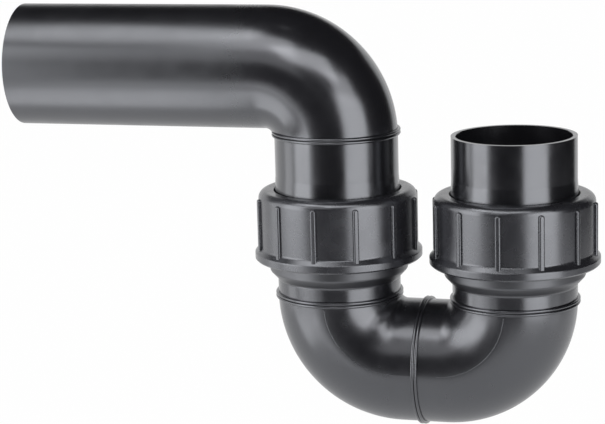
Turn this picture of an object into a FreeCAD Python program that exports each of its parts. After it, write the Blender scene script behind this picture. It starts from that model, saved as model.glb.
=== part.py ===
import FreeCAD, Part
import math
import os
import Sketcher

# Butt-welded drain trap: a U-bend between two screwed unions, with a long outlet arm.
# Origin at the centre of the inlet rim, Z up, the arm towards -X, the U-bend in the XZ plane. Millimetres.

sizes = {
    # Pipe and butt welds
    "pipe_diameter": 110.0,
    "pipe_wall": 4.2,
    "roll_width": 2.8,
    "roll_rise": 1.0,
    # U-bend
    "elbow_throat": 5.0,
    "nut_clearance": 10.0,
    # Outlet bend and arm
    "bend_throat": 7.0,
    "bend_trim": 4.8,
    "arm_length": 232.0,
    # Threaded end
    "neck_height": 15.0,
    "cone_height": 7.5,
    "collar_reach": 7.0,
    "threaded_height": 68.0,
    "lead_in": 2.0,
    "cone_rounding": 3.0,
    # Gasket
    "gasket_thickness": 4.0,
    "gasket_margin": 0.6,
    # Tail piece
    "tail_height": 74.0,
    "collar_height": 14.0,
    "collar_chamfer": 1.2,
    "root_swell": 1.4,
    "spigot_length": 38.0,
    "rim_chamfer": 0.5,
    # Union nut
    "nut_height": 62.5,
    "nut_wall": 5.2,
    "nut_lip": 9.0,
    "nut_gap": 0.5,
    "thread_depth": 3.0,
    "thread_gap": 0.6,
    "flange_reach": 4.2,
    "flange_height": 7.0,
    "flange_foot": 1.5,
    "flare_height": 4.5,
    "flare_rounding": 2.5,
    "flange_rounding": 1.6,
    "shoulder_radius": 7.0,
    "hole_rounding": 0.6,
    # Grip ribs of the nut
    "rib_width": 5.0,
    "rib_rise": 2.5,
    "rib_root": 2.0,
    "rib_drop": 8.6,
    "rib_rounding": 1.6,
    # Turn of each nut at rest, in degrees
    "outlet_nut_turn": 27.5,
    "inlet_nut_turn": 29.0,
}
RIB_COUNT = 12
CUBIC_MM_PER_CM3 = 1000.0

doc = FreeCAD.newDocument("pipe_bend_trap")
sheet = doc.addObject("Spreadsheet::Sheet", "Sizes")
for row, (name, size) in enumerate(sizes.items(), 1):
    sheet.set(f"A{row}", name)
    sheet.set(f"B{row}", str(size))
    sheet.setAlias(f"B{row}", name)
doc.recompute()

# Sums of named sizes that several pieces share
PIPE = "pipe_diameter/2"
BORE = "pipe_diameter/2 - pipe_wall"
CORE = f"{PIPE} + collar_reach"
NUT_BORE = f"{CORE} + thread_depth + thread_gap"
NUT_SIDE = f"{NUT_BORE} + nut_wall"
BRIM = f"{NUT_SIDE} + flange_reach"
NUT_HOLE = f"{PIPE} + root_swell + nut_gap"
ELBOW = f"{PIPE} + elbow_throat"
BEND = f"{PIPE} + bend_throat"
HALF_SPACING = f"{BRIM} + nut_clearance/2"
SPACING = f"{HALF_SPACING} + {HALF_SPACING}"
UNION_HEIGHT = "threaded_height + gasket_thickness + tail_height"


def amount(text):
    """Number for a sum of named sizes, each with an optional divisor."""
    total = 0.0
    sign = 1.0
    for word in text.split():
        if word in "+-":
            sign = 1.0 if word == "+" else -1.0
            continue
        name, _, divisor = word.partition("/")
        total += sign * sizes[name] / float(divisor or 1)
    return total


def formula(text):
    """The same sum, as an expression on the sheet."""
    return " ".join(word if word in "+-" else f"Sizes.{word}" for word in text.split())


def negative(text):
    """The sum with every sign turned."""
    signed = text if text.startswith("- ") else f"+ {text}"
    opposite = {"+": "-", "-": "+"}
    return " ".join(opposite.get(word, word) for word in signed.split()).removeprefix("+ ")


def new_body(label):
    body = doc.addObject("PartDesign::Body", label)
    body.Label = label
    return body


def new_sketch(body, role, name):
    sketch = body.newObject("Sketcher::SketchObject", name)
    plane = next(item for item in body.Origin.OriginFeatures if item.Role == role)
    sketch.AttachmentSupport = [(plane, "")]
    sketch.MapMode = "FlatFace"
    return sketch


def fix(sketch, kind, first, second, text):
    """Distance constraint from one point to another, bound to the sheet."""
    value = amount(text)
    if value < 0:
        first, second = second, first
        text = negative(text)
    index = sketch.addConstraint(Sketcher.Constraint(kind, *first, *second, abs(value)))
    sketch.setExpression(f"Constraints[{index}]", formula(text))


def pin_point(sketch, curve, point, across, up):
    """Holds one point of a curve at a place given by named sizes; an empty text means zero."""
    for kind, text, axis in (("DistanceX", across, -2), ("DistanceY", up, -1)):
        if text:
            fix(sketch, kind, (-1, 1), (curve, point), text)
        else:
            sketch.addConstraint(Sketcher.Constraint("PointOnObject", curve, point, axis))


def spot(across, up):
    return FreeCAD.Vector(amount(across), amount(up), 0)


def add_outline(sketch, points):
    """Closed outline of straight edges through the given places."""
    count = len(points)
    for number, point in enumerate(points):
        following = points[(number + 1) % count]
        sketch.addGeometry(Part.LineSegment(spot(*point), spot(*following)), False)
    for number, point in enumerate(points):
        sketch.addConstraint(Sketcher.Constraint("Coincident", number, 2, (number + 1) % count, 1))
        pin_point(sketch, number, 1, *point)


def add_rounded_outline(sketch, corners, bulge):
    """Rectangle whose two sides in the bulge direction are half circles.

    The corners run anticlockwise from the lower left one, and bulge is DistanceX or DistanceY.
    """
    first = sketch.GeometryCount
    count = len(corners)
    for side, corner in enumerate(corners):
        start, end = spot(*corner), spot(*corners[(side + 1) % count])
        edge = Part.LineSegment(start, end)
        if (side % 2 == 1) == (bulge == "DistanceX"):
            opening = math.pi + side * math.pi / 2
            circle = Part.Circle((start + end) / 2, FreeCAD.Vector(0, 0, 1), start.distanceToPoint(end) / 2)
            edge = Part.ArcOfCircle(circle, opening, opening + math.pi)
        sketch.addGeometry(edge, False)
    for side, corner in enumerate(corners):
        curve = first + side
        sketch.addConstraint(Sketcher.Constraint("Coincident", curve, 2, first + (side + 1) % count, 1))
        pin_point(sketch, curve, 1, *corner)
        if isinstance(sketch.Geometry[curve], Part.ArcOfCircle):
            fix(sketch, bulge, (-1, 1), (curve, 3), corner[0 if bulge == "DistanceX" else 1])


def add_circle(sketch, across, up, radius):
    circle = Part.Circle(spot(across, up), FreeCAD.Vector(0, 0, 1), amount(radius))
    curve = sketch.addGeometry(circle, False)
    pin_point(sketch, curve, 3, across, up)
    index = sketch.addConstraint(Sketcher.Constraint("Radius", curve, amount(radius)))
    sketch.setExpression(f"Constraints[{index}]", formula(radius))


def revolve(body, sketch, name, axis, angle=360.0):
    feature = body.newObject("PartDesign::Revolution", name)
    feature.Profile = sketch
    feature.ReferenceAxis = (sketch, [axis])
    feature.Angle = angle
    feature.Refine = False
    doc.recompute()
    return feature


def turned(body, points, start=0.0):
    """Solid of revolution about the body's Z axis; each point is a radius and a height."""
    sketch = new_sketch(body, "XZ_Plane", f"{body.Label}_profile")
    turn = FreeCAD.Rotation(FreeCAD.Vector(0, 1, 0), start)
    sketch.AttachmentOffset = FreeCAD.Placement(FreeCAD.Vector(), turn)
    add_outline(sketch, points)
    return revolve(body, sketch, f"{body.Label}_turning", "V_Axis")


def rim_names(shape, radius, level):
    """Names of the circular edges about Z with this radius at this height."""
    found = []
    for number, edge in enumerate(shape.Edges, 1):
        if not isinstance(edge.Curve, Part.Circle):
            continue
        same_radius = abs(edge.Curve.Radius - amount(radius)) < 1e-4
        same_level = abs(edge.Curve.Center.z - amount(level)) < 1e-4
        if same_radius and same_level:
            found.append(f"Edge{number}")
    return found


def round_rims(body, base, name, size, rims):
    """Rounds the circular edges that lie at the given radii and heights."""
    feature = body.newObject("PartDesign::Fillet", name)
    feature.Base = (base, [edge for rim in rims for edge in rim_names(base.Shape, *rim)])
    feature.Radius = amount(size)
    feature.setExpression("Radius", formula(size))
    doc.recompute()
    return feature


def add_weld_rolls(body, name, axis_place, face, back, upright):
    """Half of a butt weld: a ring at a pipe end, rolled over outside and inside.

    axis_place is the distance of the pipe's axis from the body's own axis, face and back the ends of
    the ring along the pipe, and upright tells the pipe's direction.
    """
    sketch = new_sketch(body, "XZ_Plane", f"{name}_profile")
    ends = [(axis_place, ""), (axis_place, PIPE)]
    rolls = [f"{axis_place} + {BORE} - roll_rise", f"{axis_place} + {PIPE} + roll_rise"]
    if not upright:
        ends = [("", axis_place), (PIPE, axis_place)]
        rolls = [f"{axis_place} - {PIPE} + pipe_wall + roll_rise", f"{axis_place} - {PIPE} - roll_rise"]
    axis = sketch.addGeometry(Part.LineSegment(spot(*ends[0]), spot(*ends[1])), True)
    for point, end in enumerate(ends, 1):
        pin_point(sketch, axis, point, *end)
    near, far = sorted([roll.removeprefix(" + ") for roll in rolls], key=amount)
    low, high = sorted([face, back], key=amount)
    places = [(near, low), (far, low), (far, high), (near, high)]
    if not upright:
        places = [(low, near), (high, near), (high, far), (low, far)]
    add_rounded_outline(sketch, places, "DistanceX" if upright else "DistanceY")
    return revolve(body, sketch, name, "Axis0")


def add_tube_section(body, role, name, across, up):
    sketch = new_sketch(body, role, name)
    add_circle(sketch, across, up, PIPE)
    add_circle(sketch, across, up, BORE)
    return sketch


def set_place(body, across="", level="", turn=""):
    if across:
        body.setExpression("Placement.Base.x", formula(across))
    if level:
        body.setExpression("Placement.Base.z", formula(level))
    if turn:
        body.setExpression("Placement.Rotation.Angle", turn)


def make_threaded_end(label, across):
    """Weld neck that widens to the screwed end of a union; its rim seats the gasket."""
    body = new_body(label)
    shoulder = "neck_height + cone_height"
    turning = turned(body, [
        (BORE, ""),
        (PIPE, ""),
        (PIPE, "neck_height"),
        (CORE, shoulder),
        (CORE, "threaded_height - lead_in"),
        (f"{CORE} - lead_in", "threaded_height"),
        (BORE, "threaded_height"),
    ])
    rims = [(PIPE, "neck_height"), (CORE, shoulder)]
    round_rims(body, turning, f"{label}_rounding", "cone_rounding", rims)
    add_weld_rolls(body, f"{label}_weld", "", "", "roll_width", True)
    set_place(body, across, negative(UNION_HEIGHT))
    return body


def make_gasket(label, across):
    """Flat ring between the threaded end and the tail piece."""
    body = new_body(label)
    inside = f"{BORE} + gasket_margin"
    outside = f"{CORE} - lead_in - gasket_margin"
    turned(body, [
        (inside, ""),
        (outside, ""),
        (outside, "gasket_thickness"),
        (inside, "gasket_thickness"),
    ])
    set_place(body, across, negative("gasket_thickness + tail_height"))
    return body


def make_tail_piece(label, across, welded):
    """Spigot with a collar at its foot, which the nut's lip pulls onto the gasket."""
    body = new_body(label)
    root = f"{PIPE} + root_swell"
    profile = [
        (BORE, ""),
        (f"{CORE} - collar_chamfer", ""),
        (CORE, "collar_chamfer"),
        (CORE, "collar_height"),
        (root, "collar_height"),
        (PIPE, "tail_height - spigot_length"),
    ]
    if welded:
        turned(body, profile + [(PIPE, "tail_height"), (BORE, "tail_height")])
        add_weld_rolls(body, f"{label}_weld", "", "tail_height", "tail_height - roll_width", True)
    else:
        turned(body, profile + [
            (PIPE, "tail_height"),
            (f"{BORE} + rim_chamfer", "tail_height"),
            (BORE, "tail_height - rim_chamfer"),
        ])
    set_place(body, across, negative("tail_height"))
    return body


def rib_edge_names(shape):
    """Names of the edges round the ribs' outer faces, apart from those at the flange."""
    reach = amount(f"{NUT_SIDE} + rib_rise")
    lowest = amount("flange_height + flare_height")
    found = []
    for face in shape.Faces:
        flat = isinstance(face.Surface, Part.Plane)
        if not flat or abs(abs(face.Surface.Position.dot(face.Surface.Axis)) - reach) > 1e-4:
            continue
        found += [edge for edge in face.Edges if edge.CenterOfMass.z > lowest]
    return [f"Edge{number}" for number, edge in enumerate(shape.Edges, 1)
            if any(edge.isSame(other) for other in found)]


def add_grip_ribs(body):
    """Upright ribs with round heads, spaced evenly round the nut."""
    label = body.Label
    sketch = new_sketch(body, "XZ_Plane", f"{label}_rib_profile")
    sketch.setExpression("AttachmentOffset.Base.z", formula(f"{NUT_SIDE} - rib_root"))
    half = "rib_width/2"
    foot = "flange_height/2"
    head = "nut_height - rib_drop"
    corners = [(negative(half), head), (negative(half), foot), (half, foot), (half, head)]
    for start, end in zip(corners, corners[1:]):
        sketch.addGeometry(Part.LineSegment(spot(*start), spot(*end)), False)
    crown = Part.Circle(FreeCAD.Vector(0, amount(head), 0), FreeCAD.Vector(0, 0, 1), amount(half))
    arc = sketch.addGeometry(Part.ArcOfCircle(crown, 0, math.pi), False)
    for number in range(len(corners) - 1):
        pin_point(sketch, number, 1, *corners[number])
    pin_point(sketch, 2, 2, *corners[3])
    sketch.addConstraint(Sketcher.Constraint("Coincident", 0, 2, 1, 1))
    sketch.addConstraint(Sketcher.Constraint("Coincident", 1, 2, 2, 1))
    sketch.addConstraint(Sketcher.Constraint("Coincident", 2, 2, arc, 1))
    sketch.addConstraint(Sketcher.Constraint("Coincident", arc, 2, 0, 1))
    fix(sketch, "DistanceY", (-1, 1), (arc, 3), head)
    rib = body.newObject("PartDesign::Pad", f"{label}_rib")
    rib.Profile = sketch
    rib.setExpression("Length", formula("rib_root + rib_rise"))
    rib.Refine = False
    doc.recompute()
    ribs = body.newObject("PartDesign::PolarPattern", f"{label}_ribs")
    ribs.Originals = [rib]
    axis = next(item for item in body.Origin.OriginFeatures if item.Role == "Z_Axis")
    ribs.Axis = (axis, [""])
    ribs.Angle = 360.0
    ribs.Occurrences = RIB_COUNT
    ribs.Refine = False
    body.Tip = ribs
    doc.recompute()
    rounding = body.newObject("PartDesign::Fillet", f"{label}_rib_rounding")
    rounding.Base = (ribs, rib_edge_names(ribs.Shape))
    rounding.Radius = amount("rib_rounding")
    rounding.setExpression("Radius", formula("rib_rounding"))
    rounding.Refine = False
    doc.recompute()
    return rounding


def make_union_nut(label, across, turn):
    """Ribbed nut: a lip above the tail piece's collar, a bore for the thread and a flanged foot."""
    body = new_body(label)
    flare = "flange_height + flare_height"
    turning = turned(body, [
        (NUT_BORE, "lead_in"),
        (f"{NUT_BORE} + lead_in", ""),
        (f"{BRIM} - flange_foot", ""),
        (BRIM, "flange_foot"),
        (BRIM, "flange_height"),
        (NUT_SIDE, flare),
        (NUT_SIDE, "nut_height"),
        (NUT_HOLE, "nut_height"),
        (NUT_HOLE, "nut_height - nut_lip"),
        (NUT_BORE, "nut_height - nut_lip"),
    ], 180.0 / RIB_COUNT)
    shoulder = round_rims(body, turning, f"{label}_shoulder", "shoulder_radius", [(NUT_SIDE, "nut_height")])
    hole = round_rims(body, shoulder, f"{label}_hole_edge", "hole_rounding", [(NUT_HOLE, "nut_height")])
    neck = round_rims(body, hole, f"{label}_flare", "flare_rounding", [(NUT_SIDE, flare)])
    round_rims(body, neck, f"{label}_flange_edge", "flange_rounding", [(BRIM, "flange_height")])
    add_grip_ribs(body)
    level = "collar_height + nut_lip - tail_height - nut_height"
    set_place(body, across, level, f"Sizes.{turn}")
    return body


def make_elbow(label, across, faces_back):
    """Quarter bend with one longer leg; the two longer legs are welded to each other."""
    body = new_body(label)
    section = add_tube_section(body, "XY_Plane", f"{label}_section", ELBOW, "")
    revolve(body, section, f"{label}_bend", "V_Axis", 90.0)
    leg_length = f"{HALF_SPACING} {negative(ELBOW)}"
    foot = negative(ELBOW)
    leg_section = add_tube_section(body, "YZ_Plane", f"{label}_leg_section", "", foot)
    leg = body.newObject("PartDesign::Pad", f"{label}_leg")
    leg.Profile = leg_section
    leg.setExpression("Length", formula(leg_length))
    leg.Reversed = True
    leg.Refine = False
    doc.recompute()
    add_weld_rolls(body, f"{label}_upper_weld", ELBOW, "", negative("roll_width"), True)
    leg_end = negative(leg_length)
    add_weld_rolls(body, f"{label}_middle_weld", foot, leg_end, f"{leg_end} + roll_width", False)
    set_place(body, across, negative(UNION_HEIGHT), "180" if faces_back else "")
    return body


def make_outlet_bend(label):
    """Quarter bend with a long straight arm; its foot is cut level, within the ring of the weld."""
    body = new_body(label)
    section = add_tube_section(body, "XY_Plane", f"{label}_section", BEND, "")
    bend = revolve(body, section, f"{label}_bend", "V_Axis", 90.0)
    bend.Reversed = True
    arm_section = add_tube_section(body, "YZ_Plane", f"{label}_arm_section", "", BEND)
    arm = body.newObject("PartDesign::Pad", f"{label}_arm")
    arm.Profile = arm_section
    arm.setExpression("Length", formula("arm_length"))
    arm.Reversed = True
    arm.Refine = False
    doc.recompute()
    trim_outline = new_sketch(body, "XY_Plane", f"{label}_trim_outline")
    near = "bend_throat - pipe_wall"
    far = f"{BEND} + {PIPE} + pipe_wall"
    side = f"{PIPE} + pipe_wall"
    add_outline(trim_outline, [(near, negative(side)), (far, negative(side)), (far, side), (near, side)])
    trim = body.newObject("PartDesign::Pocket", f"{label}_trim")
    trim.Profile = trim_outline
    trim.setExpression("Length", formula("bend_trim + roll_width/2"))
    trim.Reversed = True
    trim.Refine = False
    doc.recompute()
    add_weld_rolls(body, f"{label}_weld", BEND, "bend_trim", "bend_trim + roll_width", True)
    set_place(body, negative(f"{SPACING} + {BEND}"), negative("bend_trim"))
    return body


outlet = negative(SPACING)
pieces = [
    make_outlet_bend("outlet_bend"),
    make_tail_piece("outlet_tail_piece", outlet, True),
    make_union_nut("outlet_union_nut", outlet, "outlet_nut_turn"),
    make_gasket("outlet_gasket", outlet),
    make_threaded_end("outlet_threaded_end", outlet),
    make_elbow("outlet_elbow", f"{ELBOW} {negative(SPACING)}", True),
    make_elbow("inlet_elbow", negative(ELBOW), False),
    make_threaded_end("inlet_threaded_end", ""),
    make_gasket("inlet_gasket", ""),
    make_union_nut("inlet_union_nut", "", "inlet_nut_turn"),
    make_tail_piece("inlet_tail_piece", "", False),
]
doc.recompute()

for item in doc.Objects:
    if "Invalid" in item.State or "Error" in item.State:
        raise RuntimeError(f"{item.Name} failed: {item.State}")
for piece in pieces:
    if piece.Shape.isNull() or not piece.Shape.isValid() or len(piece.Shape.Solids) != 1:
        raise RuntimeError(f"{piece.Label} is not one valid solid")

os.makedirs("parts", exist_ok=True)
for piece in pieces:
    piece.Shape.exportStep(f"parts/{piece.Label}.step")
    print(f"{piece.Label}: {piece.Shape.Volume / CUBIC_MM_PER_CM3:.1f} cm3")
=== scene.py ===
import math

import bmesh
import bpy
from mathutils import Matrix, Vector


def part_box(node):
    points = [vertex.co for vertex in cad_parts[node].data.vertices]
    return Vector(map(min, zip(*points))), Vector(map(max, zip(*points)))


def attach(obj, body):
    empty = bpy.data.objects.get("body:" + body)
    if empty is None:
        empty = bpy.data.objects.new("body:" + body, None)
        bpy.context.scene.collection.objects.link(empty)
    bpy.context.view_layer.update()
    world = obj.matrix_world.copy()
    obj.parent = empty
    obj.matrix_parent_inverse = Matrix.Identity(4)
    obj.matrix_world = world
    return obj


# Looks of a butt-welded drain trap in black polyethylene. Metres, in the frame of the solids.

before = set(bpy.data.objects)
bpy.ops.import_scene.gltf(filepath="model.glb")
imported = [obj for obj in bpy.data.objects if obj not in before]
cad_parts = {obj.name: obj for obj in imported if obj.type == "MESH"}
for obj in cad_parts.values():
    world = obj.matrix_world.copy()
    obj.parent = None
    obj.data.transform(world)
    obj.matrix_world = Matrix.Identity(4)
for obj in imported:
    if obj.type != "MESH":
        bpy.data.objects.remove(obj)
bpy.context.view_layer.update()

MM = 0.001
PIPE_RADIUS = 55.0 * MM
ELBOW_RADIUS = 60.0 * MM
UNION_NAMES = ("inlet", "outlet")


def union_axis(name):
    """Place of a union's upright axis along X, from the middle of its gasket."""
    low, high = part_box(f"{name}_gasket")
    return (low.x + high.x) / 2


# Materials

# Most values of a noise lie in this range
NOISE_RANGE = (0.3, 0.7)


def new_material(name):
    """New principled material; returns it with its node tree and shader."""
    material = bpy.data.materials.new(name)
    material.use_nodes = True
    tree = material.node_tree
    return material, tree, tree.nodes["Principled BSDF"]


def add_noise(tree, scale, detail=3.0, stretch=(1.0, 1.0, 1.0)):
    """Noise over the object's own coordinates, which are first scaled along each axis by stretch."""
    place = tree.nodes.new("ShaderNodeTexCoord")
    mapping = tree.nodes.new("ShaderNodeMapping")
    mapping.inputs["Scale"].default_value = stretch
    noise = tree.nodes.new("ShaderNodeTexNoise")
    noise.inputs["Scale"].default_value = scale
    noise.inputs["Detail"].default_value = detail
    tree.links.new(place.outputs["Object"], mapping.inputs["Vector"])
    tree.links.new(mapping.outputs["Vector"], noise.inputs["Vector"])
    return noise.outputs["Fac"]


def map_range(tree, value, source, target):
    """Carries a value over from one range to another, held at the ends."""
    node = tree.nodes.new("ShaderNodeMapRange")
    for end, before, after in zip(("Min", "Max"), source, target):
        node.inputs[f"From {end}"].default_value = before
        node.inputs[f"To {end}"].default_value = after
    tree.links.new(value, node.inputs["Value"])
    return node.outputs["Result"]


def combine(tree, operation, first, second):
    """Result of a math operation on two values."""
    node = tree.nodes.new("ShaderNodeMath")
    node.operation = operation
    tree.links.new(first, node.inputs[0])
    tree.links.new(second, node.inputs[1])
    return node.outputs["Value"]


def shade_between(tree, value, dark, light):
    """Colour between two shades, chosen by a noise."""
    ramp = tree.nodes.new("ShaderNodeValToRGB")
    for element, position, shade in zip(ramp.color_ramp.elements, NOISE_RANGE, (dark, light)):
        element.position = position
        element.color = (*shade, 1.0)
    tree.links.new(value, ramp.inputs["Fac"])
    return ramp.outputs["Color"]


def add_bump(tree, shader, height, depth):
    """Relief of a given depth in the surface."""
    bump = tree.nodes.new("ShaderNodeBump")
    bump.inputs["Strength"].default_value = 1.0
    bump.inputs["Distance"].default_value = depth
    tree.links.new(height, bump.inputs["Height"])
    tree.links.new(bump.outputs["Normal"], shader.inputs["Normal"])


PLASTIC_IOR = 1.6
PLASTIC_SPECULAR = 1.0
COOL_GLOSS = (0.915, 0.937, 1.0, 1.0)
# Red, green and blue of the darkest and the lightest patches, for each unit of shade
DARK_PATCH = (0.8, 0.78, 0.95)
LIGHT_PATCH = (1.2, 1.19, 1.4)
CLOUD_SCALE = 22.0
HAZE_SCALE = 60.0
HAZE_DETAIL = 5.0
GRAIN_DETAIL = 2.0


def black_plastic(name, shade, gloss, haze, grain, depth, stretch=(1.0, 1.0, 1.0)):
    """Carbon black polyethylene: cloudy in shade and gloss, with a fine grain in its skin.

    shade is the middle brightness, gloss the smallest roughness, haze how much the roughness
    rises in cloudy patches, and grain and depth the scale and the height of the skin's relief.
    """
    material, tree, shader = new_material(name)
    dark = [shade * part for part in DARK_PATCH]
    light = [shade * part for part in LIGHT_PATCH]
    colour = shade_between(tree, add_noise(tree, CLOUD_SCALE), dark, light)
    roughness = map_range(tree, add_noise(tree, HAZE_SCALE, HAZE_DETAIL), NOISE_RANGE, (gloss, gloss + haze))
    tree.links.new(colour, shader.inputs["Base Color"])
    tree.links.new(roughness, shader.inputs["Roughness"])
    shader.inputs["IOR"].default_value = PLASTIC_IOR
    shader.inputs["Specular IOR Level"].default_value = PLASTIC_SPECULAR
    shader.inputs["Specular Tint"].default_value = COOL_GLOSS
    add_bump(tree, shader, add_noise(tree, grain, GRAIN_DETAIL, stretch), depth)
    return material


RUBBER_DARK = (0.008, 0.008, 0.008)
RUBBER_LIGHT = (0.016, 0.016, 0.016)
RUBBER_CLOUD_SCALE = 150.0
RUBBER_ROUGHNESS = (0.6, 0.8)
RUBBER_HAZE_SCALE = 300.0
RUBBER_GRAIN = 1500.0
RUBBER_GRAIN_DEPTH = 0.04 * MM


def black_rubber(name):
    """Matt black rubber of the gaskets."""
    material, tree, shader = new_material(name)
    colour = shade_between(tree, add_noise(tree, RUBBER_CLOUD_SCALE), RUBBER_DARK, RUBBER_LIGHT)
    roughness = map_range(tree, add_noise(tree, RUBBER_HAZE_SCALE), NOISE_RANGE, RUBBER_ROUGHNESS)
    tree.links.new(colour, shader.inputs["Base Color"])
    tree.links.new(roughness, shader.inputs["Roughness"])
    add_bump(tree, shader, add_noise(tree, RUBBER_GRAIN), RUBBER_GRAIN_DEPTH)
    return material


def dull_end(material, axis, dull, glossy, rise):
    """Makes one end of a piece rougher, fading along an axis from a dull place to a glossy one."""
    tree = material.node_tree
    shader = tree.nodes["Principled BSDF"]
    gloss = shader.inputs["Roughness"].links[0].from_socket
    place = tree.nodes.new("ShaderNodeTexCoord")
    split = tree.nodes.new("ShaderNodeSeparateXYZ")
    tree.links.new(place.outputs["Object"], split.inputs["Vector"])
    fade = map_range(tree, split.outputs[axis], (dull, glossy), (rise, 0.0))
    tree.links.new(combine(tree, "ADD", gloss, fade), shader.inputs["Roughness"])


# The grain of the pipe runs along its arm
ALONG_ARM = (0.06, 1.0, 1.0)

pipe_skin = black_plastic("pipe_skin", shade=0.006, gloss=0.20, haze=0.05, grain=900.0, depth=0.006 * MM,
                          stretch=ALONG_ARM)
fitting_skin = black_plastic("fitting_skin", shade=0.0045, gloss=0.18, haze=0.05, grain=700.0,
                             depth=0.006 * MM)
collar_skin = black_plastic("collar_skin", shade=0.008, gloss=0.19, haze=0.05, grain=800.0, depth=0.007 * MM)
elbow_skin = black_plastic("elbow_skin", shade=0.007, gloss=0.22, haze=0.06, grain=900.0, depth=0.010 * MM)
nut_skin = black_plastic("nut_skin", shade=0.011, gloss=0.24, haze=0.06, grain=1000.0, depth=0.008 * MM)
thread_skin = black_plastic("thread_skin", shade=0.014, gloss=0.28, haze=0.06, grain=900.0, depth=0.012 * MM)
seal_skin = black_rubber("seal_rubber")

# The straight arm is duller than the bend, and the collar under each nut duller than its weld neck
dull_end(pipe_skin, "X", dull=-260.0 * MM, glossy=-210.0 * MM, rise=0.08)
dull_end(collar_skin, "Z", dull=-128.0 * MM, glossy=-134.0 * MM, rise=0.16)

skins = {
    "outlet_bend": pipe_skin,
    "outlet_tail_piece": fitting_skin,
    "inlet_tail_piece": fitting_skin,
    "outlet_threaded_end": collar_skin,
    "inlet_threaded_end": collar_skin,
    "outlet_elbow": elbow_skin,
    "inlet_elbow": elbow_skin,
    "outlet_union_nut": nut_skin,
    "inlet_union_nut": nut_skin,
    "outlet_gasket": seal_skin,
    "inlet_gasket": seal_skin,
}
for node, skin in skins.items():
    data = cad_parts[node].data
    data.materials.clear()
    data.materials.append(skin)


# Added pieces

def swept_mesh(sections):
    """Closed mesh through a row of sections with as many points each, capped at both ends."""
    bm = bmesh.new()
    rings = [[bm.verts.new(point) for point in section] for section in sections]
    count = len(rings[0])
    for ring, following in zip(rings, rings[1:]):
        for number in range(count):
            after = (number + 1) % count
            bm.faces.new((ring[number], ring[after], following[after], following[number]))
    bm.faces.new(list(reversed(rings[0])))
    bm.faces.new(rings[-1])
    bmesh.ops.recalc_face_normals(bm, faces=bm.faces)
    return bm


def add_mesh(name, bm, material):
    """Puts a finished mesh into the scene."""
    data = bpy.data.meshes.new(name)
    bm.to_mesh(data)
    bm.free()
    data.materials.append(material)
    item = bpy.data.objects.new(name, data)
    bpy.context.scene.collection.objects.link(item)
    return item


def add_piece(name, bm, material, body):
    """Puts a piece of the object into the scene, smooth, on its body."""
    piece = add_mesh(name, bm, material)
    for face in piece.data.polygons:
        face.use_smooth = True
    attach(piece, body)


THREAD_PITCH = 8.0 * MM
THREAD_ROOT_HALF = 2.4 * MM
THREAD_CREST_HALF = 1.15 * MM
THREAD_START = 3.0 * MM
THREAD_SINK = 0.3 * MM
RUN_OUT_TURNS = 0.2
SMALLEST_SWELL = 0.02
STEPS_PER_TURN = 72
CORE_RADIUS = 62.0 * MM
OUTER_CREST = 64.8 * MM
OUTER_TURNS = 3.5
NUT_BORE = 65.6 * MM
INNER_CREST = 62.7 * MM
INNER_TURNS = 3.9


def thread_ridge(axis_x, start, turns, root, crest, phase):
    """Right-handed ridge of trapezium section that fades out at both ends.

    start is the level of its first section, phase the angle there, and root and crest the radii
    of its foot and its top.
    """
    sections = []
    for step in range(round(turns * STEPS_PER_TURN) + 1):
        turn = step / STEPS_PER_TURN
        swell = min(1.0, turn / RUN_OUT_TURNS, (turns - turn) / RUN_OUT_TURNS)
        top = root + (crest - root) * max(SMALLEST_SWELL, swell)
        angle = phase + 2 * math.pi * turn
        level = start + THREAD_PITCH * turn
        outline = (
            (root, -THREAD_ROOT_HALF),
            (top, -THREAD_CREST_HALF),
            (top, THREAD_CREST_HALF),
            (root, THREAD_ROOT_HALF),
        )
        sections.append([
            (axis_x + radius * math.cos(angle), radius * math.sin(angle), level + rise)
            for radius, rise in outline
        ])
    return swept_mesh(sections)


# The ridges sink a little into the wall that carries them, and the nut's lie half a turn from the other's
for name in UNION_NAMES:
    axis_x = union_axis(name)
    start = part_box(f"{name}_union_nut")[0].z + THREAD_START
    outer = thread_ridge(axis_x, start, OUTER_TURNS, CORE_RADIUS - THREAD_SINK, OUTER_CREST, 0.0)
    add_piece(f"{name}_outer_thread", outer, thread_skin, "u_bend")
    inner = thread_ridge(axis_x, start, INNER_TURNS, NUT_BORE + THREAD_SINK, INNER_CREST, math.pi)
    add_piece(f"{name}_inner_thread", inner, nut_skin, f"{name}_nut")


LINE_REACH = 0.35 * MM
LINE_START = math.radians(3.5)
LINE_SWEEP = math.radians(86.5)
LINE_STEPS = 48
LINE_SIDES = 8


def parting_line(centre_x, level, outwards, side):
    """Fine flash line along an elbow's flank, midway between its throat and its back.

    outwards is the sense along X from the elbow's centre to its leg, and side that along Y.
    """
    across = Vector((0.0, 1.0, 0.0))
    sections = []
    for step in range(LINE_STEPS + 1):
        angle = LINE_START + LINE_SWEEP * step / LINE_STEPS
        reach = Vector((outwards * math.cos(angle), 0.0, -math.sin(angle)))
        middle = Vector((centre_x, side * PIPE_RADIUS, level)) + ELBOW_RADIUS * reach
        section = []
        for number in range(LINE_SIDES):
            around = 2 * math.pi * number / LINE_SIDES
            section.append(middle + LINE_REACH * (math.cos(around) * reach + math.sin(around) * across))
        sections.append(section)
    return swept_mesh(sections)


weld_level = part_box("inlet_threaded_end")[0].z
for name, outwards in zip(UNION_NAMES, (1, -1)):
    centre_x = union_axis(name) - outwards * ELBOW_RADIUS
    for side, word in ((-1, "front"), (1, "back")):
        line = parting_line(centre_x, weld_level, outwards, side)
        add_piece(f"{name}_elbow_{word}_line", line, elbow_skin, "u_bend")


# Camera, from a fit to the photograph's outlines

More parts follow.
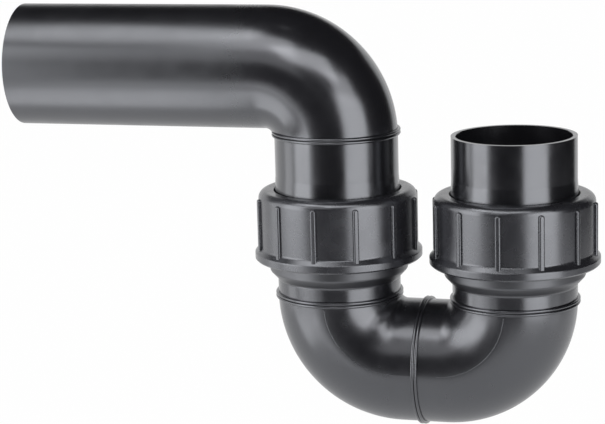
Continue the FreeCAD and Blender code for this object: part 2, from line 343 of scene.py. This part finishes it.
IMAGE_WIDTH = 605
FOCAL_PIXELS = 2138.3
CAMERA_AZIMUTH = math.radians(16.342)
CAMERA_ELEVATION = math.radians(11.744)
CAMERA_ROLL = math.radians(-1.568)
CAMERA_DISTANCE = 1.9234
CAMERA_TARGET = Vector((-0.19308, 0.0, -0.07438))


def direction(azimuth, elevation):
    """Unit vector from the object; azimuth 0 points to the front, and 90 degrees to +X."""
    level = math.cos(elevation)
    return Vector((math.sin(azimuth) * level, -math.cos(azimuth) * level, math.sin(elevation)))


def add_camera():
    """Camera that sees the object as the photograph does."""
    back = direction(CAMERA_AZIMUTH, CAMERA_ELEVATION)
    right = (-back).cross(Vector((0, 0, 1))).normalized()
    up = right.cross(-back)
    rolled_right = math.cos(CAMERA_ROLL) * right + math.sin(CAMERA_ROLL) * up
    rolled_up = -math.sin(CAMERA_ROLL) * right + math.cos(CAMERA_ROLL) * up
    turn = Matrix((rolled_right, rolled_up, back)).transposed()
    data = bpy.data.cameras.new("camera")
    data.sensor_fit = "HORIZONTAL"
    data.lens = FOCAL_PIXELS * data.sensor_width / IMAGE_WIDTH
    camera = bpy.data.objects.new("camera", data)
    camera.matrix_world = Matrix.Translation(CAMERA_TARGET + CAMERA_DISTANCE * back) @ turn.to_4x4()
    bpy.context.scene.collection.objects.link(camera)
    bpy.context.scene.camera = camera


# Studio

STUDIO_CENTRE = Vector((-0.15, 0.0, -0.08))
AMBIENT_COLOUR = (0.9, 0.95, 1.0, 1.0)
AMBIENT_STRENGTH = 0.3
WHITE = (1.0, 1.0, 1.0, 1.0)

LAMPS = (
    # Name, place, point it aims at, width and height, radiance
    ("left_softbox", (-1.73, -1.22, 0.33), STUDIO_CENTRE, (1.38, 1.98), 1.75),
    ("left_softbox_core", (-1.68, -1.18, 0.32), STUDIO_CENTRE, (1.10, 1.82), 1.75),
    ("left_inner_softbox", (-1.29, -1.64, -0.17), STUDIO_CENTRE, (0.42, 0.75), 0.93),
    ("left_side_softbox", (-2.13, -0.25, 0.25), STUDIO_CENTRE, (0.89, 2.05), 1.07),
    ("right_softbox", (1.42, -1.21, 0.0), STUDIO_CENTRE, (1.70, 1.58), 1.65),
    ("right_softbox_core", (1.37, -1.17, 0.0), STUDIO_CENTRE, (1.42, 1.42), 1.65),
    ("right_upper_softbox", (1.36, -1.15, 1.05), STUDIO_CENTRE, (1.13, 0.8), 2.14),
    ("right_low_card", (1.95, -0.10, -0.80), STUDIO_CENTRE, (0.8, 0.44), 0.56),
    ("top_softbox", (0.03, -0.50, 0.55), (-0.20, -0.04, 0.06), (0.60, 0.30), 2.9),
    ("bend_softbox", (-0.27, -0.34, 0.47), (-0.24, -0.03, 0.08), (0.32, 0.25), 2.3),
    ("front_upper_softbox", (-0.55, -1.70, 0.93), STUDIO_CENTRE, (1.0, 0.8), 0.84),
    ("left_top_softbox", (-0.74, -0.38, 0.95), (-0.35, 0.0, 0.06), (0.5, 0.55), 3.26),
    ("arm_card", (-0.53, -0.30, -0.30), (-0.53, -0.30, 0.70), (0.36, 0.36), 1.77),
    ("far_card", (-1.03, -1.62, -0.85), (-0.35, 0.0, 0.04), (0.7, 0.7), 0.93),
)


def add_softbox(name, place, aim, size, radiance):
    """Area lamp at a place, turned to a point that it aims at."""
    outwards = (Vector(place) - Vector(aim)).normalized()
    data = bpy.data.lights.new(name, "AREA")
    data.shape = "RECTANGLE"
    data.size, data.size_y = size
    data.energy = radiance * math.pi * data.size * data.size_y
    lamp = bpy.data.objects.new(name, data)
    lamp.matrix_world = Matrix.Translation(place) @ outwards.to_track_quat("Z", "Y").to_matrix().to_4x4()
    lamp.visible_camera = False
    bpy.context.scene.collection.objects.link(lamp)


def seen_rays(tree):
    """1 for rays of the camera, of gloss and of clear materials, else 0."""
    path = tree.nodes.new("ShaderNodeLightPath")
    seen = path.outputs["Is Camera Ray"]
    for kind in ("Is Glossy Ray", "Is Transmission Ray"):
        seen = combine(tree, "MAXIMUM", seen, path.outputs[kind])
    return seen


def mix_shaders(tree, share, first, second, output):
    """Mixes two shaders into an output, with the second one's share given."""
    mix = tree.nodes.new("ShaderNodeMixShader")
    tree.links.new(share, mix.inputs["Fac"])
    tree.links.new(first.outputs[0], mix.inputs[1])
    tree.links.new(second.outputs[0], mix.inputs[2])
    tree.links.new(mix.outputs[0], output.inputs["Surface"])


def add_world():
    """Dim world that looks white to the eye and in the gloss."""
    world = bpy.data.worlds.new("studio_world")
    world.use_nodes = True
    tree = world.node_tree
    tree.nodes.clear()
    ambient = tree.nodes.new("ShaderNodeBackground")
    ambient.inputs["Color"].default_value = AMBIENT_COLOUR
    ambient.inputs["Strength"].default_value = AMBIENT_STRENGTH
    white = tree.nodes.new("ShaderNodeBackground")
    white.inputs["Color"].default_value = WHITE
    mix_shaders(tree, seen_rays(tree), ambient, white, tree.nodes.new("ShaderNodeOutputWorld"))
    bpy.context.scene.world = world


FLOOR_LEVEL = -0.95
FLOOR_RADIUS = 40.0
FLOOR_SEGMENTS = 64
FLOOR_COLOUR = (0.85, 0.85, 0.85, 1.0)
FLOOR_ROUGHNESS = 0.9
# Distances from the middle between which the floor's glow grows, and its share there
GLOW_REACH = (0.6, 1.9)
GLOW_SHARE = (0.7, 0.99)


def add_floor():
    """Pale floor, white to the eye far off, that keeps the object's shadow below it."""
    material, tree, shader = new_material("pale_floor")
    shader.inputs["Base Color"].default_value = FLOOR_COLOUR
    shader.inputs["Roughness"].default_value = FLOOR_ROUGHNESS
    glow = tree.nodes.new("ShaderNodeEmission")
    glow.inputs["Strength"].default_value = 1.0
    place = tree.nodes.new("ShaderNodeTexCoord")
    reach = tree.nodes.new("ShaderNodeVectorMath")
    reach.operation = "LENGTH"
    tree.links.new(place.outputs["Object"], reach.inputs[0])
    growth = map_range(tree, reach.outputs["Value"], GLOW_REACH, GLOW_SHARE)
    share = combine(tree, "MULTIPLY", seen_rays(tree), growth)
    mix_shaders(tree, share, shader, glow, tree.nodes["Material Output"])
    bm = bmesh.new()
    bmesh.ops.create_circle(bm, cap_ends=True, segments=FLOOR_SEGMENTS, radius=FLOOR_RADIUS)
    floor = add_mesh("floor", bm, material)
    floor.location = (STUDIO_CENTRE.x, STUDIO_CENTRE.y, FLOOR_LEVEL)


DRAPE_RADIUS = 2.6
DRAPE_COLUMNS = 72
DRAPE_ROWS = 12
DRAPE_COLOUR = (0.01, 0.01, 0.01, 1.0)
# Azimuths right of the camera at which the drapes change, and elevations of their top and feet, in degrees
FRONT_FROM = -95
SIDE_FROM = 58
BACK_FROM = 132
DRAPE_TOP = 88.0
FRONT_FOOT = -22.0
SIDE_FOOT = -13.0
BACK_FOOT = 25.0


def drape_foot(azimuth):
    """Elevation at which the drapes end, for an azimuth right of the camera, both in degrees.

    In front they hang to the floor, at the right they end above it, and behind they leave the
    backdrop free.
    """
    if FRONT_FROM < azimuth < SIDE_FROM:
        return FRONT_FOOT
    if SIDE_FROM <= azimuth < BACK_FROM:
        return SIDE_FOOT
    return BACK_FOOT


def add_drapes():
    """Dark drapes that stand round the set, for the dark bands in the gloss."""
    bm = bmesh.new()
    grid = []
    for column in range(DRAPE_COLUMNS):
        azimuth = -180 + 360 * column / DRAPE_COLUMNS
        foot = drape_foot(azimuth)
        turn = CAMERA_AZIMUTH + math.radians(azimuth)
        strip = []
        for row in range(DRAPE_ROWS + 1):
            elevation = math.radians(foot + (DRAPE_TOP - foot) * row / DRAPE_ROWS)
            strip.append(bm.verts.new(STUDIO_CENTRE + DRAPE_RADIUS * direction(turn, elevation)))
        grid.append(strip)
    for column in range(DRAPE_COLUMNS):
        near = grid[column]
        far = grid[(column + 1) % DRAPE_COLUMNS]
        for row in range(DRAPE_ROWS):
            bm.faces.new((near[row], far[row], far[row + 1], near[row + 1]))
    material, _, shader = new_material("dark_cloth")
    shader.inputs["Base Color"].default_value = DRAPE_COLOUR
    shader.inputs["Roughness"].default_value = 1.0
    shader.inputs["Specular IOR Level"].default_value = 0.0
    drapes = add_mesh("drapes", bm, material)
    drapes.visible_camera = False
    drapes.visible_diffuse = False
    drapes.visible_shadow = False


add_camera()
for lamp in LAMPS:
    add_softbox(*lamp)
add_world()
add_floor()
add_drapes()

bpy.context.scene.view_settings.view_transform = "Standard"
